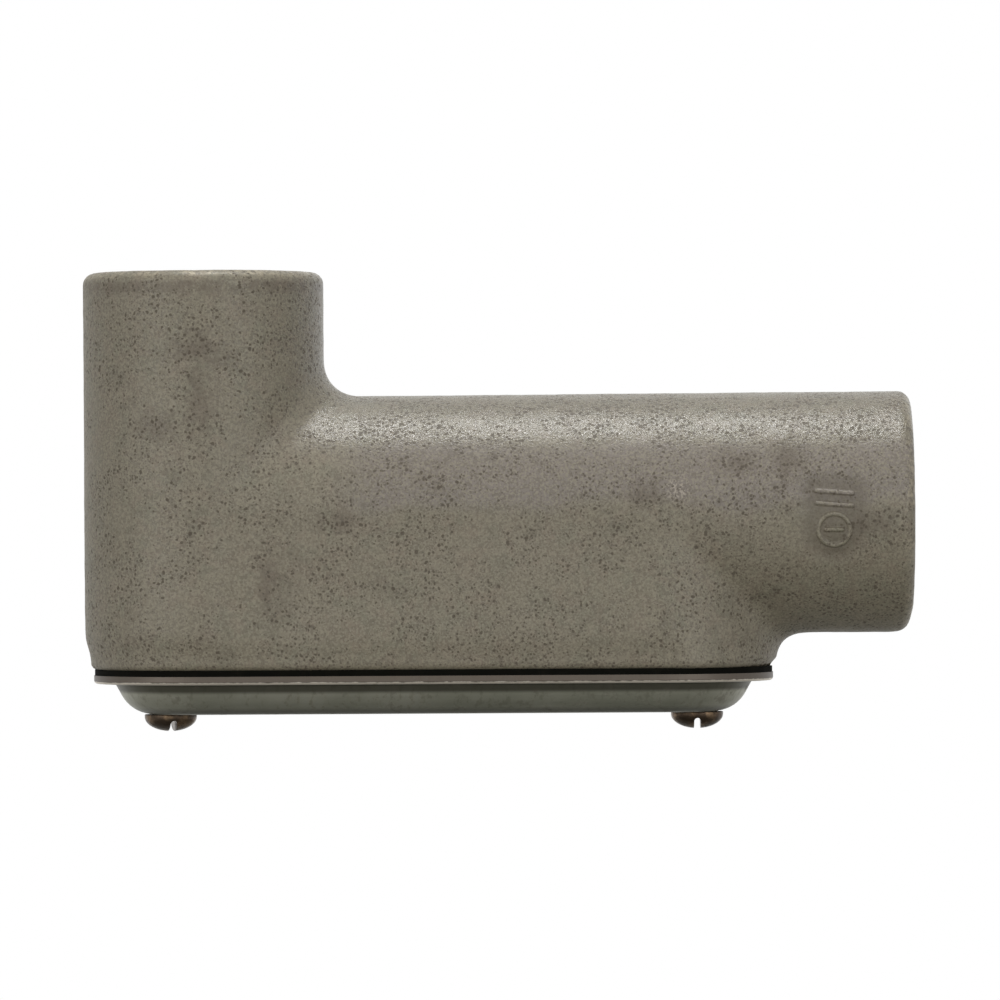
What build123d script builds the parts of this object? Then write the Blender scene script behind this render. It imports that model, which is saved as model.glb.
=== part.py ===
from build123d import *

import math
import os

# Conduit body with a back hub and a run hub at a right angle, an iron casting closed by a
# stamped steel cover. Millimetres. The origin is the centre of the back hub's mouth, +Z
# points out of that mouth and +X runs along the body, out of the run hub's mouth.

# Hubs, for 1 inch pipe thread
thread_radius = 16.75  # at the thread's root
thread_length = 19.0
hub_wall = 5.0
throat_step = 3.45  # how far the rounded bushing stands in from the thread
throat_length = 4.0
throat_rounding = 1.6
mouth_chamfer = 0.4
rim_rounding = 2.2

# Casting
wall = 4.0
back_hub_gap = 3.55  # from the barrel's inside up to the back hub's bushing
run_hub_gap = 1.3  # from the trough's end out to the run hub's bushing
body_length = 103.3  # from the back hub's axis to the trough's run end
barrel_inset = 0.4  # how much smaller the barrel is than the back hub
barrel_draft = 0.5  # how much the barrel grows towards the run hub
trough_inset = 0.1  # how far the trough's flat sides lie inside the barrel
land_drop = 5.85  # from the run hub's underside down to the gasket
inner_corner_blend = 6.2
run_end_blend = 4.6

# Skirt: the sides draw in above the gasket
band_height = 2.3
skirt_height = 3.3
skirt_step = 1.05
land_width = 5.6
land_rounding = 1.2
lip_height = 3.4

# Cover and gasket
gasket_thickness = 1.05
gasket_inset = 0.75  # the gasket's edge lies inside the casting's
cover_thickness = 1.5
cover_inset = 0.6
flange_width = 3.8
pan_depth = 5.55  # below the flange
pan_slope = 29.0  # degrees from upright
pan_rounding = 6.5
bend_rounding = 0.7
flange_rounding = 0.6

# Cover screws, number 10 with 32 threads to the inch
screw_radius = 2.41
screw_lead = 25.4 / 32
screw_length = 15.9  # below the head
screw_setback = 13.8  # from the cover's end to the screw's axis
head_radius = 4.73
head_height = 3.05
head_edge = 0.9
round_share = 0.62  # of the head's radius, at a point on its round side
round_drop = 0.86  # of the head's height, at the same point
slot_width = 1.2
slot_depth = 1.9
slot_turns = {"back": 10.5, "run": 0.0}  # degrees from straight across the body

# Wedge nuts
nut_width = 13.0
nut_height = 4.6  # above the lip
nut_drop = 1.8  # below the lip's inner edge, in the opening
nut_heel = 5.0  # from the screw's axis inwards
nut_brow = 1.2  # metal left round the screw before the slope
toe_height = 1.6

# Clearances
screw_clearance = 0.08
nut_clearance = 0.05
nut_to_wall = 0.3
nut_to_lip = 0.05

# Radii and heights that follow
hub_radius = thread_radius + hub_wall
barrel_radius = hub_radius - barrel_inset
hub_depth = thread_length + throat_length
throat_radius = thread_radius - throat_step
run_mouth_x = body_length + run_hub_gap + hub_depth
run_hub_radius = barrel_radius + barrel_draft
axis_z = -(hub_depth + back_hub_gap + barrel_radius - wall)
gasket_z = axis_z - run_hub_radius - land_drop
skirt_z = gasket_z + band_height + skirt_height
flange_z = gasket_z - gasket_thickness
pan_z = flange_z - cover_thickness - pan_depth

growth = barrel_draft / run_mouth_x
trough_back_radius = barrel_radius - trough_inset
trough_run_radius = trough_back_radius + growth * (body_length - trough_back_radius)
trough_run_x = body_length - trough_run_radius
band_radius = hub_radius - skirt_step
band_run_x = body_length - band_radius
opening_radius = band_radius - land_width
inner_radius = band_radius - wall

cover_radius = band_radius - cover_inset
pan_radius = cover_radius - flange_width
pan_inner_radius = pan_radius - cover_thickness * math.tan(math.radians(45 - pan_slope / 2))
screw_x = {
    "back": screw_setback - cover_radius,
    "run": band_run_x + cover_radius - screw_setback,
}
end_x = {"back": 0.0, "run": band_run_x}
outward = {"back": -1, "run": 1}
nut_side = {"back": Align.MIN, "run": Align.MAX}

barrel_start = Plane(origin=(0, 0, axis_z), z_dir=(1, 0, 0))
run_mouth = barrel_start.offset(run_mouth_x)


def obround(radius, run_x):
    """Adds a round-ended outline about the back hub's axis and run_x to the sketch."""
    Circle(radius)
    with Locations((run_x, 0)):
        Circle(radius)
    with Locations((run_x / 2, 0)):
        Rectangle(run_x, 2 * radius)


# Outside of the barrel and the trough under it. The trough's flat sides run on from the
# barrel's, and its run end is rounded off under the run hub.
with BuildPart() as body:
    with BuildSketch(Plane.XZ):
        with BuildLine():
            Polyline(
                (0, axis_z),
                (0, axis_z + barrel_radius),
                (run_mouth_x, axis_z + run_hub_radius),
                (run_mouth_x, axis_z),
                close=True,
            )
        make_face()
    revolve(axis=Axis((0, 0, axis_z), (1, 0, 0)))
    with BuildSketch(Plane.XY.offset(gasket_z)):
        Circle(trough_back_radius)
        with Locations((trough_run_x, 0)):
            Circle(trough_run_radius)
        make_hull()
    extrude(amount=axis_z - gasket_z)
    split(bisect_by=Plane.YZ, keep=Keep.TOP)
    fillet(body.edges().filter_by(GeomType.BSPLINE), min(run_end_blend, 0.8 * land_drop))


def on_hub_joint(edge):
    """True for the edges where the barrel and the trough meet the back hub."""
    middle = edge.position_at(0.5)
    on_hub = abs(math.hypot(middle.X, middle.Y) - hub_radius) < 0.01
    return on_hub and middle.X > 0.5 and abs(middle.Y) > 1.0 and middle.Z < -1.0


# The back hub stands on the body's back end, in one casting with it.
with BuildPart() as casting:
    add(body.part)
    with BuildSketch(Plane.XY.offset(gasket_z)):
        Circle(hub_radius)
    extrude(amount=-gasket_z)
    joint_edges = casting.edges().filter_by(on_hub_joint).filter_by(GeomType.CIRCLE, reverse=True)
    fillet(joint_edges, inner_corner_blend)

    # Skirt: what lies outside its curved side is cut away, round the back end and then
    # along both flat sides, where it fades out into the rounded run end.
    with BuildSketch(Plane.YZ) as skirt:
        with BuildLine():
            Line((band_radius, gasket_z), (band_radius, gasket_z + band_height))
            Spline(
                (band_radius, gasket_z + band_height),
                (hub_radius, skirt_z),
                tangents=[(0, 1), (0, 1)],
            )
            Polyline(
                (hub_radius, skirt_z),
                (hub_radius + wall, skirt_z),
                (hub_radius + wall, gasket_z),
                (band_radius, gasket_z),
            )
        make_face()
    revolve(axis=Axis.Z, revolution_arc=180, mode=Mode.SUBTRACT)
    with BuildSketch(Plane.YZ):
        add(skirt.sketch_local)
        mirror(about=Plane.YZ)
    extrude(amount=body_length, mode=Mode.SUBTRACT)

    # Rounded edges of the land and of both mouths
    fillet(casting.faces().sort_by(Axis.Z)[0].outer_wire().edges(), land_rounding)
    fillet(casting.faces().sort_by(Axis.Z)[-1].outer_wire().edges(), rim_rounding)
    fillet(casting.faces().sort_by(Axis.X)[-1].outer_wire().edges(), rim_rounding)

    # Wiring chamber: upright under the back hub, round along the barrel, and straight down
    # to the lip round the cover opening.
    with BuildSketch(Plane.XY.offset(-hub_depth)):
        Circle(hub_radius - wall)
    extrude(amount=axis_z + hub_depth, mode=Mode.SUBTRACT)
    with BuildSketch(barrel_start):
        Circle(barrel_radius - wall)
    extrude(amount=run_mouth_x - hub_depth, mode=Mode.SUBTRACT)
    with BuildSketch(Plane.XY.offset(gasket_z + lip_height)):
        obround(inner_radius, band_run_x)
    extrude(amount=axis_z - gasket_z - lip_height, mode=Mode.SUBTRACT)
    with BuildSketch(Plane.XY.offset(gasket_z)):
        obround(opening_radius, band_run_x)
    extrude(amount=lip_height, mode=Mode.SUBTRACT)

    # Each hub: a bore for the thread, then the bushing's throat, rounded on both sides
    for mouth in (Plane.XY, run_mouth):
        with BuildSketch(mouth):
            Circle(thread_radius)
        extrude(amount=-thread_length, mode=Mode.SUBTRACT)
        with BuildSketch(mouth.offset(-thread_length)):
            Circle(throat_radius)
        extrude(amount=-throat_length, mode=Mode.SUBTRACT)
    throat_edges = casting.edges().filter_by(GeomType.CIRCLE)
    throat_edges = throat_edges.filter_by(lambda edge: abs(edge.radius - throat_radius) < 0.01)
    fillet(throat_edges, throat_rounding)
    mouth_edges = casting.faces().sort_by(Axis.Z)[-1].inner_wires().edges()
    mouth_edges += casting.faces().sort_by(Axis.X)[-1].inner_wires().edges()
    chamfer(mouth_edges, mouth_chamfer)
casting.part.label = "body_casting"

# Gasket: a flat ring under the casting's land
with BuildPart() as gasket:
    with BuildSketch(Plane.XY.offset(flange_z)):
        obround(band_radius - gasket_inset, band_run_x)
        with BuildSketch(mode=Mode.SUBTRACT):
            obround(opening_radius + gasket_inset, band_run_x)
    extrude(amount=gasket_thickness)
gasket.part.label = "gasket"

# The cover's pan inside, one sheet thickness away from its outside
with BuildPart() as pan_hollow:
    with BuildSketch(Plane.XY.offset(flange_z)):
        obround(pan_inner_radius, band_run_x)
    extrude(amount=-pan_depth, taper=pan_slope)
    fillet(pan_hollow.faces().sort_by(Axis.Z)[0].outer_wire().edges(), pan_rounding - cover_thickness)

# Cover: a flat flange round a drawn pan, all of one steel sheet
with BuildPart() as cover:
    with BuildSketch(Plane.XY.offset(flange_z - cover_thickness)):
        obround(cover_radius, band_run_x)
    extrude(amount=cover_thickness)
    fillet(cover.faces().sort_by(Axis.Z)[0].outer_wire().edges(), flange_rounding)
    with BuildSketch(Plane.XY.offset(flange_z - cover_thickness)):
        obround(pan_radius, band_run_x)
    extrude(amount=-pan_depth, taper=pan_slope)
    fillet(cover.faces().sort_by(Axis.Z)[0].outer_wire().edges(), pan_rounding)
    bends = cover.faces().filter_by(Plane.XY).sort_by(Axis.Z)[1].inner_wires().edges()
    fillet(bends, bend_rounding)
    add(pan_hollow.part, mode=Mode.SUBTRACT)
    for side in screw_x:
        with Locations((screw_x[side], 0, pan_z)):
            Hole(screw_radius + screw_clearance, 4 * cover_thickness)
cover.part.label = "cover"


def cover_screw(side):
    """One round-headed slotted screw, its head under the cover and its shank up."""
    x = screw_x[side]
    with BuildPart() as screw:
        with BuildSketch(Plane.XZ):
            with BuildLine():
                Polyline((0, screw_length), (0, -head_height))
                ThreePointArc(
                    (0, -head_height),
                    (round_share * head_radius, -round_drop * head_height),
                    (head_radius, -head_edge),
                )
                Polyline(
                    (head_radius, -head_edge),
                    (head_radius, 0),
                    (screw_radius, 0),
                    (screw_radius, screw_length - screw_lead),
                    (screw_radius - screw_lead, screw_length),
                    (0, screw_length),
                )
            make_face()
        revolve(axis=Axis.Z)
        with BuildSketch(Plane.XY.offset(-head_height)):
            Rectangle(slot_width, 3 * head_radius, rotation=slot_turns[side])
        extrude(amount=slot_depth, mode=Mode.SUBTRACT)
    placed = Pos(x, 0, pan_z) * screw.part
    placed.label = "cover_screw_" + side
    return placed


def wedge_nut(side):
    """The nut that draws the cover up: a block through the opening, with a toe over the lip."""
    x, out = screw_x[side], outward[side]
    lip_z = gasket_z + lip_height + nut_to_lip
    toe_radius = inner_radius - nut_to_wall
    block_radius = opening_radius - nut_to_wall
    heel = (x - out * nut_heel, 0)
    with BuildPart() as nut:
        # The block, rounded like the opening's end, and above it the toe over the lip
        for height, radius, low in (
            (nut_drop, block_radius, lip_z - nut_drop),
            (nut_height, toe_radius, lip_z),
        ):
            with BuildSketch(Plane.XY.offset(low)):
                with Locations((end_x[side], 0)):
                    Circle(radius)
                with Locations(heel):
                    Rectangle(4 * radius, nut_width, mode=Mode.INTERSECT)
                    Rectangle(
                        4 * radius,
                        4 * radius,
                        align=(nut_side[side], Align.CENTER),
                        mode=Mode.SUBTRACT,
                    )
            extrude(amount=height)
        # The wedge: its back slopes down from the screw to the toe
        with BuildSketch(Plane.XZ.offset(-nut_width)):
            with BuildLine():
                top_z = lip_z + nut_height
                brow = (x + out * (screw_radius + nut_brow), top_z)
                toe = (end_x[side] + out * toe_radius, lip_z + toe_height)
                far = (toe[0] + out * nut_height, top_z + nut_height)
                Polyline(brow, toe, (far[0], toe[1]), far, (brow[0], far[1]), brow)
            make_face()
        extrude(amount=2 * nut_width, mode=Mode.SUBTRACT)
        with Locations((x, 0, lip_z)):
            Hole(screw_radius + nut_clearance, 4 * nut_height)
    nut.part.label = "wedge_nut_" + side
    return nut.part


pieces = [casting.part, gasket.part, cover.part]
for side in screw_x:
    pieces += [cover_screw(side), wedge_nut(side)]

os.makedirs("parts", exist_ok=True)
for piece in pieces:
    export_step(piece, "parts/" + piece.label + ".step")
    print(piece.label, round(piece.volume), piece.is_valid)
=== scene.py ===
# %% [markdown]
# # An iron conduit body and its steel cover
#
# A conduit body is the elbow of a steel conduit run: wires are pulled through it, and a cover
# on its open side lets a hand in at the bend. This one is a rough sand casting with two
# threaded hubs, closed by a stamped cover on a black gasket, which two slotted screws hold.
# The solids come from a CAD model. This lesson dresses them: it gives the casting its skin,
# cuts the threads, and mixes each finish from Blender's own nodes.

# %% Load the solids
import math

import bmesh
import bpy
import numpy as np
from mathutils import Matrix, Vector, noise
from mathutils.bvhtree import BVHTree


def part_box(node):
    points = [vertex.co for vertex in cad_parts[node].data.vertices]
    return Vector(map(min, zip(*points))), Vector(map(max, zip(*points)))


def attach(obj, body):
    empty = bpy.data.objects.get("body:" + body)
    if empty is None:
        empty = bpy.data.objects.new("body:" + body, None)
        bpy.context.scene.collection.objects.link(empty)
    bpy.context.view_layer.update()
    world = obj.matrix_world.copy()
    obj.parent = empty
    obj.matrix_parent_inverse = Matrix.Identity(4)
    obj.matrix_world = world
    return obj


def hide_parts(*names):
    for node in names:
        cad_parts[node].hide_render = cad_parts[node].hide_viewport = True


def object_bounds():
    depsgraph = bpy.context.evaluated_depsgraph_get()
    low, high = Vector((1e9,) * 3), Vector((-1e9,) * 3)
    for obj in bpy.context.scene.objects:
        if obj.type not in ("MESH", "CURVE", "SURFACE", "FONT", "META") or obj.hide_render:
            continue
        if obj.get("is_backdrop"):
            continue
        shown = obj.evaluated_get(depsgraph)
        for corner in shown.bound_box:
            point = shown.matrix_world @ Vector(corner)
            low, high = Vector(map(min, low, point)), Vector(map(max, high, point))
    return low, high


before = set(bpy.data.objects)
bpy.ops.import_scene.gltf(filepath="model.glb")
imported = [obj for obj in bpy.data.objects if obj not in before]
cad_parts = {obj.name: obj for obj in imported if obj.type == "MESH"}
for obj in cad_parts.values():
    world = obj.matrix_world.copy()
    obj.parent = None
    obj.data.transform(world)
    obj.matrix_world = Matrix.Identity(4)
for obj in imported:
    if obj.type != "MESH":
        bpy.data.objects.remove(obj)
cad_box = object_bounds()
MM = 0.001
print("nodes:", sorted(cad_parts))
print("solids' box:", [[round(n, 5) for n in corner] for corner in cad_box])

# %% [markdown]
# ## Sizes that the dressing needs
#
# The casting's sizes are on its drawing, in millimetres: the back hub's mouth is the origin
# and the run hub looks along +X. What can be measured on a solid is measured, so only the
# threads, the cover's sheet and two heights on the casting are written out here.

# %% Sizes
casting_low, casting_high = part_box("body_casting")
cover_low, cover_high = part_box("cover")
LAND_Z = casting_low.z / MM
RUN_MOUTH_X = casting_high.x / MM
RUN_AXIS_Z = -43.9
BORE_RADIUS = 16.75
THREAD_LENGTH = 19.0
MOUTH_CHAMFER = 0.4
COVER_THICKNESS = 1.5
FLANGE_BOTTOM_Z = cover_high.z / MM - COVER_THICKNESS
SKIRT_Z = -63.5
PAN_Z = cover_low.z / MM
print("land", round(LAND_Z, 2), "run mouth", round(RUN_MOUTH_X, 2), "pan", round(PAN_Z, 2))

# %% [markdown]
# ## Camera
#
# The photograph is a shop view: the camera stands far off, level with the middle of the
# part, so its upright and level edges hardly converge. A long lens does the same. The part
# leans by a third of a degree in the picture, so the camera is rolled by that much.

# %% Camera
LENS_MM = 276.8
ROLL_DEGREES = 0.331


def linked(name, data):
    """A new object in the scene, which shows that mesh, lamp or camera."""
    made = bpy.data.objects.new(name, data)
    bpy.context.scene.collection.objects.link(made)
    return made


camera = linked("camera", bpy.data.cameras.new("camera"))
camera.data.lens = LENS_MM
camera.data.sensor_width = 36.0
camera.data.clip_start = 0.05
camera.data.clip_end = 60.0
camera.location = (53.48 * MM, -1391.0 * MM, -41.38 * MM)
camera.rotation_euler = (math.radians(90), math.radians(ROLL_DEGREES), 0)
bpy.context.scene.camera = camera
print("camera", tuple(round(n, 4) for n in camera.location))

# %% [markdown]
# ## Writing shader maths as Python
#
# A procedural finish is arithmetic on patterns: this much noise, times that mask, less the
# pits. Wired by hand it becomes a web of Math nodes, so one small class wraps a socket and
# lets Python's own operators add those nodes. Another wraps the tree that they live in, and
# adds every other kind of node in one way: its settings first, then its sockets.


# %% A socket that reads like a number
class Value:
    """A socket of a tree. Each operator adds the Math node that works it out."""

    def __init__(self, tree, socket):
        self.tree = tree
        self.socket = socket

    def math(self, operation, first, second):
        return self.tree.node("Math", {"operation": operation}, {0: first, 1: second})

    def __add__(self, other):
        return self.math("ADD", self, other)

    def __sub__(self, other):
        return self.math("SUBTRACT", self, other)

    def __rsub__(self, other):
        return self.math("SUBTRACT", other, self)

    def __mul__(self, other):
        return self.math("MULTIPLY", self, other)

    def root(self):
        return self.math("SQRT", self, 0.0)

    def limited(self, low, high):
        """The value, kept from low to high."""
        return self.math("MINIMUM", self.math("MAXIMUM", self, low), high)

    __radd__ = __add__
    __rmul__ = __mul__


# %% The tree that the sockets live in
MIX_COLOURS = (6, 7)  # where a Mix node has its colour sockets, which share their names
MIX_RESULT = 2  # and where its mixed colour comes out


class Tree:
    """The nodes of one finish, or of the world."""

    def __init__(self, owner):
        owner.use_nodes = True
        self.nodes = owner.node_tree.nodes
        self.links = owner.node_tree.links
        self.nodes.clear()

    def plug(self, socket, value):
        """Links a Value into the socket, or sets it to a plain number or colour."""
        if isinstance(value, Value):
            self.links.new(value.socket, socket)
        else:
            socket.default_value = value

    def node(self, kind, settings=None, inputs=None, output=0):
        """Adds a node: its settings first, then its sockets. Gives an output by place or name."""
        made = self.nodes.new("ShaderNode" + kind)
        for name, setting in (settings or {}).items():
            setattr(made, name, setting)
        for name, value in (inputs or {}).items():
            self.plug(made.inputs[name], value)
        return Value(self, made.outputs[output])

    def output(self, kind, surface):
        made = self.nodes.new("ShaderNodeOutput" + kind)
        self.plug(made.inputs["Surface"], surface)

    def vector(self, operation, first, second):
        """Vector Math on two vectors, or on a vector and a number where it scales."""
        place = "Scale" if operation == "SCALE" else 1
        return self.node("VectorMath", {"operation": operation}, {0: first, place: second})

    def noise(self, size, where, detail=2.0, rough=0.5, output=0):
        """Perlin noise, its lumps about size millimetres apart, from 0 to 1."""
        sockets = {"Vector": where, "Scale": 1 / (size * MM), "Detail": detail}
        sockets["Roughness"] = rough
        return self.node("TexNoise", None, sockets, output)

    def cells(self, size, where, output=0):
        """Voronoi cells of about size millimetres, as the distance from each one's middle."""
        sockets = {"Vector": where, "Scale": 1 / (size * MM)}
        return self.node("TexVoronoi", None, sockets, output)

    def fade(self, value, start, end):
        """0 at start, 1 at end and smooth between them. Start may be the larger."""
        sockets = {"Value": value, "From Min": start, "From Max": end}
        return self.node("MapRange", {"interpolation_type": "SMOOTHSTEP"}, sockets)

    def mix(self, factor, first, second):
        """Mixes two colours. Each is a Value or a plain (red, green, blue)."""
        sockets = {0: factor}
        for place, colour in zip(MIX_COLOURS, (first, second)):
            sockets[place] = colour if isinstance(colour, Value) else (*colour, 1.0)
        return self.node("Mix", {"data_type": "RGBA"}, sockets, MIX_RESULT)

    def stretched(self, where, x=1.0, y=1.0, z=1.0):
        """The places, so scaled that a pattern on them is drawn out where a share is small."""
        return self.vector("MULTIPLY", where, (x, y, z))


print("shader helpers ready")


# %% A finish on one material
class Finish(Tree):
    """A material, and the places on the piece to draw on, in metres and in millimetres."""

    def __init__(self, name):
        self.material = bpy.data.materials.new(name)
        super().__init__(self.material)
        self.where = self.node("TexCoord", output="Object")
        apart = self.nodes.new("ShaderNodeSeparateXYZ")
        self.plug(apart.inputs[0], self.where)
        self.x, self.y, self.z = [Value(self, s) * (1 / MM) for s in apart.outputs]

    def bumped(self, height, depth):
        """A normal from a height of 0 to 1, which is depth millimetres deep."""
        return self.node("Bump", None, {"Height": height, "Distance": depth * MM})

    def close(self, **sockets):
        """Ends the material in a Principled shader with these sockets."""
        named = {name.replace("_", " "): value for name, value in sockets.items()}
        self.output("Material", self.node("BsdfPrincipled", None, named))
        print(self.material.name, "has", len(self.nodes), "nodes")
        return self.material


def coat(pieces, material):
    """Gives the pieces that material and no other."""
    for piece in pieces:
        piece.data.materials.clear()
        piece.data.materials.append(material)


print("finish helpers ready")


# %% [markdown]
# ## Studio
#
# The part was lit by a narrow soft box right above it, which draws the bright band along the
# barrel's shoulder, and by two broad ones at the left and the right of the camera. They stand
# so far out that the flat side never mirrors them, so it looks dull and even. The part floats
# on white, so the floor lies below it, and the world shows as white to the camera and in
# mirrors, while its light on the part stays low. The floor does the same far from the part.
# Close to the part it is a matt grey, which keeps the shadow and darkens what faces down. Its
# underside is clear, because the cover opens downwards and has to be looked at from below.

# %% World and floor
AMBIENT = 0.30
WHITE = (1, 1, 1, 1)
FLOOR_RADIUS = 9.0
FLOOR_PLACE = (0.05, 0.0, -0.155)
GREY_WITHIN, WHITE_BEYOND = 0.12, 0.27
world = bpy.data.worlds.new("studio")
bpy.context.scene.world = world


def ray_kinds(tree):
    """Whether a ray comes from the camera, and whether it was mirrored or let through."""
    path = tree.node("LightPath")
    outputs = path.socket.node.outputs
    names = ("Is Camera Ray", "Is Glossy Ray", "Is Transmission Ray")
    from_camera, mirrored, let_through = [Value(tree, outputs[name]) for name in names]
    return from_camera, mirrored + let_through


sky = Tree(world)
sky_light = sky.node("Background", None, {"Color": WHITE, "Strength": AMBIENT})
sky_white = sky.node("Background", None, {"Color": WHITE, "Strength": 1.0})
from_camera, mirrored = ray_kinds(sky)
backdrop = (from_camera + mirrored).limited(0.0, 1.0)
sky.output("World", sky.node("MixShader", None, {0: backdrop, 1: sky_light, 2: sky_white}))

floor_mesh = bpy.data.meshes.new("floor")
floor_shape = bmesh.new()
bmesh.ops.create_circle(floor_shape, cap_ends=True, segments=96, radius=FLOOR_RADIUS)
floor_shape.to_mesh(floor_mesh)
floor_shape.free()
floor = linked("floor", floor_mesh)
floor.location = FLOOR_PLACE
floor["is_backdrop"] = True

ground = Finish("pale_floor")
matt = ground.node("BsdfDiffuse", None, {"Color": (0.36, 0.36, 0.34, 1)})
glow = ground.node("Emission", None, {"Color": WHITE, "Strength": 1.0})
away = ground.node("VectorMath", {"operation": "LENGTH"}, {0: ground.where}, "Value")
far = ground.fade(away, GREY_WITHIN, WHITE_BEYOND)
from_camera, mirrored = ray_kinds(ground)
backdrop = (from_camera * (0.55 + 0.45 * far) + mirrored * far).limited(0.0, 1.0)
above = ground.node("MixShader", None, {0: backdrop, 1: matt, 2: glow})
clear = ground.node("BsdfTransparent")
under = ground.node("NewGeometry", output="Backfacing")
ground.output("Material", ground.node("MixShader", None, {0: under, 1: above, 2: clear}))
floor.data.materials.append(ground.material)
print("floor", FLOOR_PLACE, "with", len(ground.nodes), "nodes")


# %% Lamps
def soft_box(name, place, target, size, power):
    """A rectangular area lamp at place, turned to target. Metres and watts."""
    lamp = bpy.data.lights.new(name, "AREA")
    lamp.shape = "RECTANGLE"
    lamp.size, lamp.size_y = size
    lamp.energy = power
    holder = linked(name, lamp)
    holder.location = place
    towards = Vector(target) - Vector(place)
    holder.rotation_euler = towards.to_track_quat("-Z", "Y").to_euler()
    holder.visible_camera = False
    print(name, power, "W")


MIDDLE = (0.055, 0.0, -0.045)
soft_box("overhead", (0.06, 0.02, 0.75), MIDDLE, (0.42, 0.065), 3.6)
soft_box("left", (-0.85, -1.04, 0.17), MIDDLE, (1.1, 1.1), 8.2)
soft_box("right", (0.70, -1.20, 0.17), MIDDLE, (0.9, 1.1), 7.3)

# %% [markdown]
# ## The casting's skin
#
# Iron poured into sand has no true edge: every corner is a little round, every face a little
# uneven, and one form melts into the next. A CAD solid is made of long thin facets that can't
# be dented, so the skin is a new mesh of small even squares. Voxels give those squares, each
# point is then laid back on the solid, and a few rounds of relaxing melt the joints, most of
# all the step of the skirt above the gasket. Threads and the gasket's land are machined, so
# there the points stay where the solid has them.


# %% Helpers for meshes
def points_of(mesh):
    points = np.empty(len(mesh.vertices) * 3)
    mesh.vertices.foreach_get("co", points)
    return points.reshape(-1, 3)


def normals_of(mesh):
    normals = np.empty(len(mesh.vertices) * 3, dtype=np.float32)
    mesh.vertex_normals.foreach_get("vector", normals)
    return normals.reshape(-1, 3)


def relaxed(points, edges, share, rounds, swell=1.04):
    """Draws points to the middle of their neighbours, and then swells them by about as much."""
    neighbours = np.bincount(edges.ravel(), minlength=len(points))[:, None]
    for turn in range(2 * rounds):
        total = np.zeros_like(points)
        for axis in range(3):
            for near, away in ((0, 1), (1, 0)):
                total[:, axis] += np.bincount(
                    edges[:, near], weights=points[edges[:, away], axis], minlength=len(points)
                )
        pull = share[:, None] * (total / neighbours - points)
        points = points + pull * (1 if turn % 2 == 0 else -swell)
    return points


def eased(value, start, end):
    """0 at start, 1 at end and smooth between them, on an array."""
    share = np.clip((value - start) / (end - start), 0, 1)
    return share * share * (3 - 2 * share)


def settled(thing):
    """The mesh that the modifiers leave, with the modifiers gone."""
    evaluated = thing.evaluated_get(bpy.context.evaluated_depsgraph_get())
    mesh = bpy.data.meshes.new_from_object(evaluated)
    thing.modifiers.clear()
    return mesh


def smoothed(mesh, sharp_angle=None):
    """Shades the mesh smooth, but for edges that bend by more than sharp_angle degrees."""
    for polygon in mesh.polygons:
        polygon.use_smooth = True
    if sharp_angle is not None:
        mesh.set_sharp_from_angle(angle=math.radians(sharp_angle))


# %% Even squares from the solid
VOXEL = 0.8 * MM
WELD_WITHIN = 0.001 * MM
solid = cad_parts["body_casting"]
welded = bmesh.new()
welded.from_mesh(solid.data)
bmesh.ops.remove_doubles(welded, verts=welded.verts, dist=WELD_WITHIN)
rough_mesh = bpy.data.meshes.new("casting_rough")
welded.to_mesh(rough_mesh)
on_solid = BVHTree.FromBMesh(welded)
welded.free()

skin = linked("casting_skin", rough_mesh)
voxels = skin.modifiers.new("voxels", "REMESH")
voxels.mode = "VOXEL"
voxels.voxel_size = VOXEL
squares = settled(skin)
skin.data = squares
print("casting:", len(squares.vertices), "points,", len(squares.polygons), "faces")

# %% [markdown]
# ## The maker's mark
#
# Foundries raise a small mark on a hub, pressed into the sand with the pattern. Its lines are
# some two thirds of a millimetre wide, finer than the squares of the skin, so the squares under
# it are cut into smaller ones first. The casting's own face dips by four tenths of a
# millimetre around the mark, and the mark's lines stay at the height of the hub: nothing
# stands outside the part's true size.

# %% The mark's lines, in millimetres on the hub's side
MARK_X, MARK_Z = 113.0, -47.0
RING_RADIUS = 2.85
HALF_LINE = 0.32
RELIEF = 0.38
BARS = (
    ((109.9, -40.0), (116.3, -40.5)),
    ((109.9, -42.2), (116.3, -42.7)),
    ((111.6, -47.0), (114.4, -47.0)),
)


def distance_to_bar(x, z, start, end):
    along = np.array(end) - np.array(start)
    share = ((x - start[0]) * along[0] + (z - start[1]) * along[1]) / (along @ along)
    share = np.clip(share, 0, 1)
    return np.hypot(x - start[0] - share * along[0], z - start[1] - share * along[1])


def mark_distance(x, z):
    """How far a place is from the nearest line of the mark."""
    ring = np.abs(np.hypot(x - MARK_X, z - MARK_Z) - RING_RADIUS)
    bars = [distance_to_bar(x, z, start, end) for start, end in BARS]
    return np.minimum.reduce([ring] + bars)


print("mark: a ring and", len(BARS), "bars,", 2 * HALF_LINE, "mm wide")


# %% Cut the squares under the mark
FRONT_Y = -18.0
MARK_REACH = 1.4
cut = bmesh.new()
cut.from_mesh(squares)


def under_mark(face):
    x, y, z = face.calc_center_median() / MM
    return y < FRONT_Y and mark_distance(x, z) < MARK_REACH


fine_edges = list({edge for face in cut.faces if under_mark(face) for edge in face.edges})
bmesh.ops.subdivide_edges(cut, edges=fine_edges, cuts=4, use_grid_fill=True)
bmesh.ops.triangulate(cut, faces=[face for face in cut.faces if len(face.verts) > 4])
cut.to_mesh(squares)
cut.free()
print("casting after the cuts:", len(squares.vertices), "points")


# %% Lay the points on the solid and melt the joints
def hub_depths(points):
    """For both hubs: how deep below the mouth a point lies, and how far from the hub's axis."""
    x, y, z = (points / MM).T
    back = (-z, np.hypot(x, y))
    run = (RUN_MOUTH_X - x, np.hypot(y, z - RUN_AXIS_Z))
    return back, run


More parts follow.
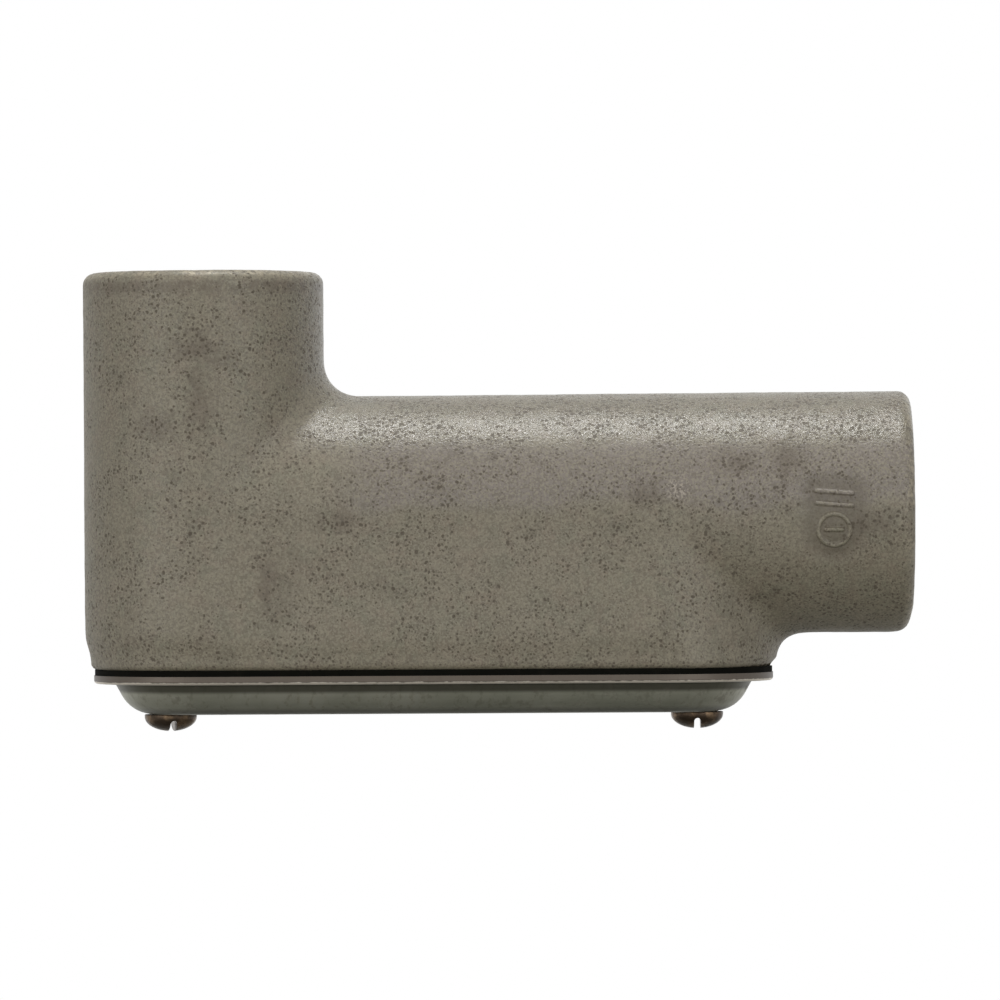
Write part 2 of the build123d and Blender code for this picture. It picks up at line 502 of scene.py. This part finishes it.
def machined(points):
    """1 on the threaded bores, the mouths and the land, fading to 0 on the raw casting."""
    share = eased(points[:, 2] / MM, LAND_Z + 1.4, LAND_Z + 0.5)
    for depth, radius in hub_depths(points):
        near_bore = eased(radius, BORE_RADIUS + 1.8, BORE_RADIUS + 1.0)
        in_bore = near_bore * eased(depth, THREAD_LENGTH + 1.5, THREAD_LENGTH + 0.7)
        share = np.maximum(share, in_bore)
    return share


def rims(points):
    """1 on the rounded rims of both hubs, fading to 0 below them."""
    share = np.zeros(len(points))
    for depth, radius in hub_depths(points):
        share = np.maximum(share, eased(depth, 4.6, 2.6) * eased(radius, 26, 24))
    return share


def laid_on_solid(points):
    return np.array([on_solid.find_nearest(Vector(point))[0] for point in points])


edges = np.empty(len(squares.edges) * 2, dtype=np.int32)
squares.edges.foreach_get("vertices", edges)
edges = edges.reshape(-1, 2)
points = laid_on_solid(points_of(squares))
raw = 1 - machined(points)
melting = 0.5 * raw * (1 - 0.8 * rims(points))
points = relaxed(points, edges, melting, 12)
points = relaxed(points, edges, melting, 2, swell=0)
height = points[:, 2] / MM
above_land = eased(height, LAND_Z + 1.0, LAND_Z + 2.6)
skirt = raw * eased(height, SKIRT_Z + 3.0, SKIRT_Z) * above_land
points = relaxed(points, edges, 0.5 * skirt, 16, swell=0)
squares.vertices.foreach_set("co", points.ravel())
squares.update()
moved = np.linalg.norm(points - laid_on_solid(points), axis=1).max() / MM
print("moved off the solid by", round(float(moved), 3), "mm at most")


# %% [markdown]
# ## Unevenness of the sand
#
# The skin waves a little over a centimetre and is grainy over two to five millimetres. Both
# keep to the solid's own box, so the casting keeps its drawn size. The finest grain is left
# to the finish, because at a third of a millimetre it is smaller than the skin's squares.
# At the run end, the last edge above the gasket is drawn in by half a millimetre.


# %% Dent the skin
def grain(points, size, seed):
    """Smooth random numbers from 0 to 1, size millimetres apart, one for each point."""
    scale = 1 / (size * MM)
    shift = Vector((seed * 7.3, seed * 3.1, seed * 5.7))
    values = [noise.noise(Vector(point) * scale + shift) for point in points]
    return np.clip(0.5 + 0.6 * np.array(values), 0, 1)


waves = 0.10 * grain(points, 14, 1) + 0.05 * grain(points, 4.5, 2)
waves = waves + 0.05 * grain(points, 2.0, 3) - 0.09
x, y, z = (points / MM).T
drawn_in = 0.5 * eased(x, 94.0, 101.0) * eased(z, LAND_Z + 1.5, LAND_Z + 0.9)
on_mark_side = eased(y, -17.0, -19.0) * eased(x, 100.0, 104.0)
from_line = mark_distance(x, z)
sunk = on_mark_side * eased(from_line, 4.2, 1.2)
line = eased(from_line, HALF_LINE + 0.16, HALF_LINE - 0.12)
mark_depth = RELIEF + 0.03 - RELIEF * line
dents = raw * (waves * (1 - sunk) + sunk * mark_depth) + drawn_in * (z > LAND_Z + 0.02)
points = points - normals_of(squares) * dents[:, None] * MM
points = np.clip(points, np.array(casting_low), np.array(casting_high))
hollow = squares.attributes.new("hollow", "FLOAT", "POINT")
hollow.data.foreach_set("value", sunk * (1 - line))
squares.vertices.foreach_set("co", points.ravel())
smoothed(squares)
squares.update()
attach(skin, "body")
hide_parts("body_casting")
print("dents up to", round(float(dents.max()), 3), "mm deep")

# %% [markdown]
# ## Threads
#
# Both hubs are tapped for one inch pipe, eleven and a half threads to the inch, and the cover
# screws have thirty-two. A thread is one ridge wound round a core: a four-cornered profile is
# carried along a helix, sunk a little into the metal that it grows from, and faded out at both
# ends as a tap or a die leaves it. The hub's first turns are cut back by the countersink.


# %% A ridge along a helix
ROOT_SINK = 0.08  # how far a ridge reaches into its core
FADE_TURNS = 0.6  # over how much of a turn a ridge grows at each end


def thread_ridge(name, lead, root, crest, start, length, steps, widest, narrowest, mouth=None):
    """A right-handed ridge round +Z, from start over length. Millimetres, and widths in leads."""
    turns = length / lead
    count = int(turns * steps)
    sink = ROOT_SINK if crest > root else -ROOT_SINK
    mesh = bmesh.new()
    rings = []
    for step in range(count + 1):
        angle = 2 * math.pi * turns * step / count
        along = start + length * step / count
        ends = min(step, count - step) / steps
        height = (crest - root) * min(1.0, ends / FADE_TURNS)
        corners = (
            (root - sink, -widest / 2 * lead),
            (root + height, -narrowest / 2 * lead),
            (root + height, narrowest / 2 * lead),
            (root - sink, widest / 2 * lead),
        )
        ring = []
        for radius, shift in corners:
            place = along + shift
            if mouth is not None:
                radius = max(radius, mouth - place)
            point = (radius * math.cos(angle), radius * math.sin(angle), place)
            ring.append(mesh.verts.new(Vector(point) * MM))
        rings.append(ring)
    for first, second in zip(rings, rings[1:]):
        for corner in range(4):
            after = (corner + 1) % 4
            mesh.faces.new((first[corner], first[after], second[after], second[corner]))
    for cap in (rings[0], rings[-1]):
        mesh.faces.new(cap)
    bmesh.ops.recalc_face_normals(mesh, faces=mesh.faces)
    made = bpy.data.meshes.new(name)
    mesh.to_mesh(made)
    mesh.free()
    smoothed(made, sharp_angle=30)
    print(name, "turns", round(turns, 1), "faces", len(made.polygons))
    return linked(name, made)


# %% Both hub threads
INCH = 25.4
PIPE_LEAD = INCH / 11.5
CREST_RADIUS = 15.2
into_back = Matrix.Rotation(math.pi, 4, "X")
run_mouth = Matrix.Translation((RUN_MOUTH_X * MM, 0, RUN_AXIS_Z * MM))
into_run = run_mouth @ Matrix.Rotation(-math.pi / 2, 4, "Y")
hub_threads = []
for name, turned in (("back_hub_thread", into_back), ("run_hub_thread", into_run)):
    ridge = thread_ridge(
        name,
        lead=PIPE_LEAD,
        root=BORE_RADIUS,
        crest=CREST_RADIUS,
        start=1.3,
        length=16.4,
        steps=96,
        widest=0.9,
        narrowest=0.16,
        mouth=BORE_RADIUS + MOUTH_CHAMFER,
    )
    ridge.data.transform(turned)
    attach(ridge, "body")
    hub_threads.append(ridge)

# %% [markdown]
# ## Cover screws
#
# The cover's screws are number ten, round headed and slotted. A screw is a turned part, so its
# outline is spun round the axis, the slot is cut with a round-bottomed cutter, as the saw
# leaves it, and the edges are eased by a hair. The thread is the same ridge as in the hubs,
# wound outside the core. The slots stand as the last hand left them, one a little askew.


# %% Turn, slot and thread a screw
SCREW_LEAD = INCH / 32
HEAD_RADIUS, HEAD_HEIGHT, HEAD_EDGE = 4.72, 3.05, 0.45
CORE_RADIUS, SCREW_RADIUS = 1.93, 2.4
SLOT_WIDTH, SLOT_DEPTH = 1.2, 1.95
EASED_EDGE = 0.09
SCREW_SIDES = 72


def spun(outline, sides):
    """A closed form from an outline of (radius, height) that starts and ends on the axis."""
    form = bmesh.new()
    rings = []
    for radius, height in outline:
        angles = [2 * math.pi * side / sides for side in range(sides if radius else 1)]
        ring = [(radius * math.cos(a), radius * math.sin(a), height) for a in angles]
        rings.append([form.verts.new(point) for point in ring])
    for first, second in zip(rings, rings[1:]):
        for side in range(sides):
            corners = [first[side % len(first)], first[(side + 1) % len(first)]]
            corners += [second[(side + 1) % len(second)], second[side % len(second)]]
            form.faces.new(list(dict.fromkeys(corners)))
    bmesh.ops.recalc_face_normals(form, faces=form.faces)
    return form


def slot_cutter(turn):
    """A bar with a round upper side, which lies across the head's crown."""
    half = SLOT_WIDTH / 2
    top = SLOT_DEPTH - HEAD_HEIGHT
    outline = [(-half, -2 * HEAD_HEIGHT), (half, -2 * HEAD_HEIGHT)]
    for step in range(9):
        angle = math.pi * step / 8
        outline.append((half * math.cos(angle), top - half + half * math.sin(angle)))
    bar = bmesh.new()
    reach = 2 * HEAD_RADIUS
    ends = [[bar.verts.new((x, y, z)) for x, z in outline] for y in (-reach, reach)]
    for place in range(len(outline)):
        after = (place + 1) % len(outline)
        bar.faces.new((ends[0][place], ends[0][after], ends[1][after], ends[1][place]))
    for end in ends:
        bar.faces.new(end)
    bmesh.ops.recalc_face_normals(bar, faces=bar.faces)
    bar.transform(Matrix.Rotation(turn, 4, "Z"))
    return bar


def as_object(name, form):
    mesh = bpy.data.meshes.new(name)
    form.to_mesh(mesh)
    form.free()
    return linked(name, mesh)


print("screw: head", 2 * HEAD_RADIUS, "mm across, thread", 2 * SCREW_RADIUS, "mm")


# %% Both screws
def cover_screw(side, turn):
    node = "cover_screw_" + side
    low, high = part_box(node)
    length = (high.z - low.z) / MM - HEAD_HEIGHT
    crown_height = HEAD_HEIGHT - HEAD_EDGE
    crown = [math.pi / 2 * step / 14 for step in range(14)]
    outline = [(HEAD_RADIUS * math.sin(a), -HEAD_EDGE - crown_height * math.cos(a)) for a in crown]
    outline += [(HEAD_RADIUS, -HEAD_EDGE), (HEAD_RADIUS, -0.1), (HEAD_RADIUS - 0.1, 0.0)]
    outline += [(CORE_RADIUS, 0.0), (CORE_RADIUS, length - SCREW_LEAD)]
    outline += [(CORE_RADIUS - 0.6, length), (0.0, length)]
    screw = as_object(node + "_turned", spun(outline, SCREW_SIDES))
    cutter = as_object("slot_cutter", slot_cutter(turn))
    slot = screw.modifiers.new("slot", "BOOLEAN")
    slot.operation, slot.solver, slot.object = "DIFFERENCE", "EXACT", cutter
    eased_edges = screw.modifiers.new("eased", "BEVEL")
    eased_edges.width, eased_edges.segments = EASED_EDGE, 2
    eased_edges.limit_method = "ANGLE"
    eased_edges.angle_limit = math.radians(42)
    mesh = settled(screw)
    bpy.data.objects.remove(cutter)
    ridge = thread_ridge(
        node + "_ridge",
        lead=SCREW_LEAD,
        root=CORE_RADIUS,
        crest=SCREW_RADIUS,
        start=1.0,
        length=length - 1.2,
        steps=36,
        widest=0.86,
        narrowest=0.14,
    )
    joined = bmesh.new()
    joined.from_mesh(mesh)
    bmesh.ops.scale(joined, vec=(MM, MM, MM), verts=joined.verts)
    joined.from_mesh(ridge.data)
    seat = ((low.x + high.x) / 2, 0, high.z - length * MM)
    bmesh.ops.translate(joined, vec=seat, verts=joined.verts)
    joined.to_mesh(mesh)
    joined.free()
    bpy.data.objects.remove(ridge)
    smoothed(mesh, sharp_angle=34)
    screw.data = mesh
    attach(screw, "screw_" + side)
    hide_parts(node)
    print(screw.name, len(mesh.polygons), "faces, shank", round(length, 2), "mm")
    return screw


screws = [cover_screw("back", math.radians(10.5)), cover_screw("run", 0.0)]

# %% [markdown]
# ## Finish: cast iron under thin grey paint
#
# The casting is painted a thin warm grey. Up close it is smooth, with soft brown specks less
# than half a millimetre across that crowd together in some places, and it is mottled, greenish
# or reddish by turns, with a few brown smudges from hands and shelves. A purplish band below
# the shoulder is a painted reflection of the lamps. A speck is a Voronoi cell whose middle is
# filled, and noise decides how large it grows. The sand's grain is a fine bump: it hardly shows
# on the flat sides, but it breaks the overhead lamp's band into glitter.

# %% Patterns of the cast iron
iron = Finish("cast_iron")
wander = iron.noise(1.2, iron.where, output="Color")
wander = iron.vector("SUBTRACT", wander, (0.5, 0.5, 0.5))
where = iron.vector("ADD", iron.where, iron.vector("SCALE", wander, 0.8 * MM))
mottle = iron.fade(iron.noise(0.62, where, detail=3.0, rough=0.65), 0.46, 0.56)
pale = iron.fade(iron.noise(0.42, iron.where, detail=2.0), 0.49, 0.59)
clouds = iron.fade(iron.noise(22.0, iron.where, detail=3.0, rough=0.55), 0.38, 0.64)
greenish = iron.fade(iron.noise(5.0, iron.where, detail=3.0, rough=0.6), 0.48, 0.62)
reddish = iron.fade(iron.noise(3.2, where, detail=3.0, rough=0.6), 0.48, 0.64)
smudges = iron.fade(iron.noise(10.0, where, detail=6.0, rough=0.72), 0.53, 0.68)
# Painted reflection: a purplish cast of the lamps' light, painted into the colour in a band below
# the barrel's shoulder.
band_height = iron.z + 2.4 * clouds
reflection_band = iron.fade(band_height, -29.5, -32.5) * iron.fade(band_height, -43.0, -39.5)
painted_purple_reflection = reflection_band * iron.fade(iron.x, 20.0, 34.0)
coarse = iron.fade(iron.z, -36.0, -29.0) * iron.fade(iron.x, 6.0, 24.0)
hollow_dirt = iron.node("Attribute", {"attribute_name": "hollow"}, output="Fac")
print("patterns:", len(iron.nodes), "nodes")

# %% [markdown]
# ## Where it is dirty and worn
#
# Some marks have a place of their own: smudges on the hub and under the shoulder, rust beside
# the maker's mark, a brown ring under the back hub's mouth, and bright worn metal on both
# rims. A smudge is a soft ellipse on the front, torn by noise, in which the specks crowd
# together, so one small helper makes them all.

# %% Smudges and worn rims
torn = iron.noise(2.2, where, detail=5.0, rough=0.7)


def smudge(x, z, wide, tall):
    """A torn spot on the front of the casting. Millimetres."""
    across = (iron.x - x) * (1 / wide)
    up = (iron.z - z) * (1 / tall)
    reach = (across * across + up * up).root()
    return iron.fade(reach + 3.0 * torn, 2.7, 1.5) * iron.fade(iron.y, 0.0, -6.0)


brown_smudges = (
    smudge(-1.2, -13.8, 7.0, 3.4)
    + smudge(0.2, -23.0, 3.4, 7.0)
    + smudge(-8.0, -28.0, 5.0, 3.0)
    + smudge(12.0, -56.0, 3.0, 7.0)
    + smudge(25.0, -45.0, 4.5, 2.6)
    + smudge(95.5, -35.0, 4.6, 2.8)
    + smudge(104.5, -34.5, 2.8, 4.4)
    + smudge(79.0, -40.5, 4.0, 3.0)
    + smudge(120.5, -45.8, 4.6, 3.0)
).limited(0.0, 1.0)
scuff = smudge(85.3, -39.8, 2.2, 2.6) * pale
back_rim = iron.fade(iron.z, -1.7, -0.5)
run_rim = iron.fade(iron.x, RUN_MOUTH_X - 2.2, RUN_MOUTH_X - 0.8)
rim = (back_rim + run_rim).limited(0.0, 1.0)
chips = iron.fade(iron.noise(1.1, where, detail=3.0, rough=0.65), 0.46, 0.56)
worn = rim * chips * iron.fade(iron.noise(7.0, where), 0.35, 0.55)
under_mouth = iron.fade(iron.z, -4.8, -3.2) * iron.fade(iron.z, -1.5, -2.4)
ring_dirt = under_mouth * iron.fade(torn, 0.40, 0.54)
print("with smudges and rims:", len(iron.nodes), "nodes")

# %% Specks, crowded in some places
crowd = iron.fade(iron.noise(8.0, iron.where, detail=3.0, rough=0.6), 0.33, 0.56)
crowd = (crowd + 0.4 * brown_smudges + 0.4 * smudges + 0.25 * coarse).limited(0.0, 1.2)


def specks(size):
    """Soft spots in cells of size millimetres. Each has its own radius, in cells."""
    chance = iron.node("SeparateColor", None, {0: iron.cells(size, where, "Color")})
    radius = 0.24 * chance + 0.26 * crowd - 0.125
    return iron.fade(iron.cells(size, where) - radius, 0.08, -0.06)


large_specks = specks(0.82)
small_specks = specks(0.54)
print("with specks:", len(iron.nodes), "nodes")

# %% Colour, gloss and grain of the cast iron
grey = iron.mix(clouds, (0.174, 0.153, 0.105), (0.190, 0.167, 0.119))
grey = iron.mix(0.50 * greenish, grey, (0.157, 0.152, 0.104))
grey = iron.mix(0.45 * reddish, grey, (0.178, 0.139, 0.099))
# painted reflection: the purplish band below the shoulder
grey = iron.mix(0.80 * painted_purple_reflection, grey, (0.176, 0.151, 0.133))
grey = iron.mix(0.58 * mottle, grey, (0.102, 0.085, 0.058))
grey = iron.mix(0.55 * pale, grey, (0.249, 0.223, 0.160))
grey = iron.mix(0.32 * smudges, grey, (0.092, 0.072, 0.046))
grey = iron.mix(0.52 * brown_smudges, grey, (0.078, 0.057, 0.036))
grey = iron.mix(0.55 * ring_dirt, grey, (0.087, 0.064, 0.041))
grey = iron.mix(0.62 * small_specks, grey, (0.068, 0.052, 0.034))
grey = iron.mix(0.78 * large_specks, grey, (0.060, 0.046, 0.030))
grey = iron.mix(0.58 * hollow_dirt, grey, (0.073, 0.057, 0.036))
grey = iron.mix(0.70 * scuff, grey, (0.366, 0.320, 0.269))
grey = iron.mix(0.52 * worn, grey, (0.380, 0.335, 0.240))

grit = iron.noise(0.36, iron.where, detail=2.0, rough=0.6)
lumps = iron.noise(1.1, iron.stretched(where, 0.7, 1.0, 1.0), detail=2.0, rough=0.55)
height = 0.60 * grit + 0.12 * lumps - 0.22 * large_specks - 0.14 * small_specks
depth_share = 0.20 + 0.80 * coarse
iron_normal = iron.bumped(height * depth_share, 0.18)
dull = iron.fade(iron.noise(0.5, where, detail=2.0), 0.42, 0.58)
iron_rough = 0.50 - 0.24 * coarse + 0.10 * dull + 0.25 * large_specks - 0.10 * worn
cast_iron = iron.close(
    Base_Color=grey,
    Metallic=0.25 * worn,
    Roughness=iron_rough.limited(0.2, 0.8),
    Specular_IOR_Level=0.62,
    Normal=iron_normal,
)
coat([skin] + hub_threads, cast_iron)

# %% [markdown]
# ## Finish: the cover's plated steel
#
# The cover is a zinc-plated stamping: much smoother than the casting, a dull greenish grey,
# with faint upright marks from handling. It is a metal, so most of what is seen on it is a
# blurred picture of the room: its wall mirrors the floor in front, and where it turns under it
# is darkened by painted shade. Its flange was sheared, so the edge shows brownish steel, and
# the flange's lower rim has a painted highlight, a bright line with some rubbed wear. The crease
# below it has painted shade, with some dirt.

# %% Plated steel
plate = Finish("plated_steel")
streaks = plate.noise(1.2, plate.stretched(plate.where, 1.0, 1.0, 0.16), detail=4.0, rough=0.6)
haze = plate.noise(10.0, plate.where, detail=4.0, rough=0.6)
grains = plate.noise(0.5, plate.where, detail=2.0)
ragged = plate.z + 0.5 * plate.noise(1.3, plate.where, detail=3.0, rough=0.65) - 0.25
edge_zone = plate.fade(ragged, FLANGE_BOTTOM_Z + 0.28, FLANGE_BOTTOM_Z + 0.48)
below_flange = plate.fade(plate.z, FLANGE_BOTTOM_Z + 0.1, FLANGE_BOTTOM_Z - 0.1)
# Painted shade with some dirt: the crease under the flange's overhang is darkened in the colour.
crease_shade_and_dirt = plate.fade(plate.z, FLANGE_BOTTOM_Z - 1.9, FLANGE_BOTTOM_Z - 1.1) * below_flange
on_flange = plate.fade(plate.z, FLANGE_BOTTOM_Z - 0.05, FLANGE_BOTTOM_Z + 0.05)
# Painted highlight with some rubbed wear: a bright line on the flange's lower rim.
rim_highlight_and_wear = on_flange * (1 - edge_zone)
above_pan = plate.fade(plate.z, PAN_Z + 0.02, PAN_Z + 0.25)
# Painted shade: the wall is darkened in the colour towards the pan, where it turns under.
painted_pan_shade = plate.fade(plate.z, PAN_Z + 1.5, PAN_Z + 0.4) * above_pan
dirt = plate.fade(plate.noise(3.0, plate.where, detail=5.0, rough=0.7), 0.55, 0.70)
zinc = plate.mix(plate.fade(haze, 0.35, 0.65), (0.268, 0.270, 0.216), (0.322, 0.318, 0.262))
zinc = plate.mix(0.45 * plate.fade(streaks, 0.52, 0.66), zinc, (0.170, 0.160, 0.125))
# painted shade where the wall turns under
zinc = plate.mix(0.74 * painted_pan_shade, zinc, (0.055, 0.055, 0.044))
# painted shade and dirt in the crease below the flange
zinc = plate.mix(0.85 * crease_shade_and_dirt, zinc, (0.050, 0.047, 0.033))
zinc = plate.mix(0.90 * edge_zone, zinc, (0.068, 0.049, 0.037))
# painted highlight, partly rubbed wear, on the flange's lower rim
zinc = plate.mix(0.85 * rim_highlight_and_wear, zinc, (0.700, 0.635, 0.550))
zinc = plate.mix(0.45 * dirt, zinc, (0.095, 0.082, 0.060))
plate_metal = (0.80 - 0.35 * edge_zone - 0.30 * dirt).limited(0.0, 1.0)
plate_rough = (0.32 + 0.14 * haze + 0.2 * dirt + 0.08 * grains).limited(0.25, 0.8)
plate_normal = plate.bumped(0.6 * grains + 0.4 * streaks, 0.02)
plated_steel = plate.close(
    Base_Color=zinc, Metallic=plate_metal, Roughness=plate_rough, Normal=plate_normal
)
coat([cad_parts["cover"]], plated_steel)

# %% [markdown]
# ## Finish: gasket
#
# The gasket is cut from a sheet of black rubber. Its cut edge is dull and slightly furry, so
# it is nearly black and rough, with a fine grain.

# %% Black rubber
rubber = Finish("black_rubber")
fur = rubber.noise(0.4, rubber.where, detail=3.0, rough=0.7)
dusty = rubber.fade(rubber.noise(4.0, rubber.where, detail=4.0, rough=0.6), 0.45, 0.75)
black = rubber.mix(0.5 * dusty, (0.003, 0.003, 0.002), (0.010, 0.009, 0.006))
black_rubber = rubber.close(
    Base_Color=black,
    Roughness=0.78 + 0.2 * fur,
    Specular_IOR_Level=0.06,
    Normal=rubber.bumped(fur, 0.04),
)
coat([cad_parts["gasket"]], black_rubber)

# %% [markdown]
# ## Finish: screws and nuts
#
# The screws have a dark brown finish, worn to bronze on the head's crown, and the wedge nuts
# inside are small zinc-plated castings. One recipe makes both, with other colours.


# %% Small steel parts
def small_steel(name, deep, worn, wear_size, roughness):
    part = Finish(name)
    wear = part.fade(part.noise(wear_size, part.where, detail=4.0, rough=0.6), 0.42, 0.66)
    spots = part.fade(part.noise(0.7, part.where, detail=3.0, rough=0.7), 0.52, 0.7)
    colour = part.mix(wear, deep, worn)
    colour = part.mix(0.6 * spots, colour, deep)
    rough = (roughness + 0.18 * spots - 0.08 * wear).limited(0.2, 0.85)
    normal = part.bumped(part.noise(0.5, part.where, detail=3.0), 0.03)
    return part.close(Base_Color=colour, Metallic=0.75, Roughness=rough, Normal=normal)


BRONZE_DEEP, BRONZE_WORN = (0.046, 0.030, 0.018), (0.180, 0.120, 0.070)
ZINC_DEEP, ZINC_WORN = (0.16, 0.16, 0.145), (0.36, 0.36, 0.33)
bronzed_steel = small_steel("bronzed_steel", BRONZE_DEEP, BRONZE_WORN, 2.6, 0.34)
nut_steel = small_steel("nut_steel", ZINC_DEEP, ZINC_WORN, 3.0, 0.42)
coat(screws, bronzed_steel)
coat([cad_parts["wedge_nut_" + side] for side in ("back", "run")], nut_steel)

# %% [markdown]
# ## Finish the scene
#
# The view transform is Standard, so colours come out as written. The box of the dressed part
# is set beside that of the solids, because dressing must not change the part's size.

# %% Check the size and close
bpy.context.scene.view_settings.view_transform = "Standard"
sizes = {"cad": cad_box, "visual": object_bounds()}
sizes = {name: [[float(n) for n in corner] for corner in box] for name, box in sizes.items()}
print(sizes)
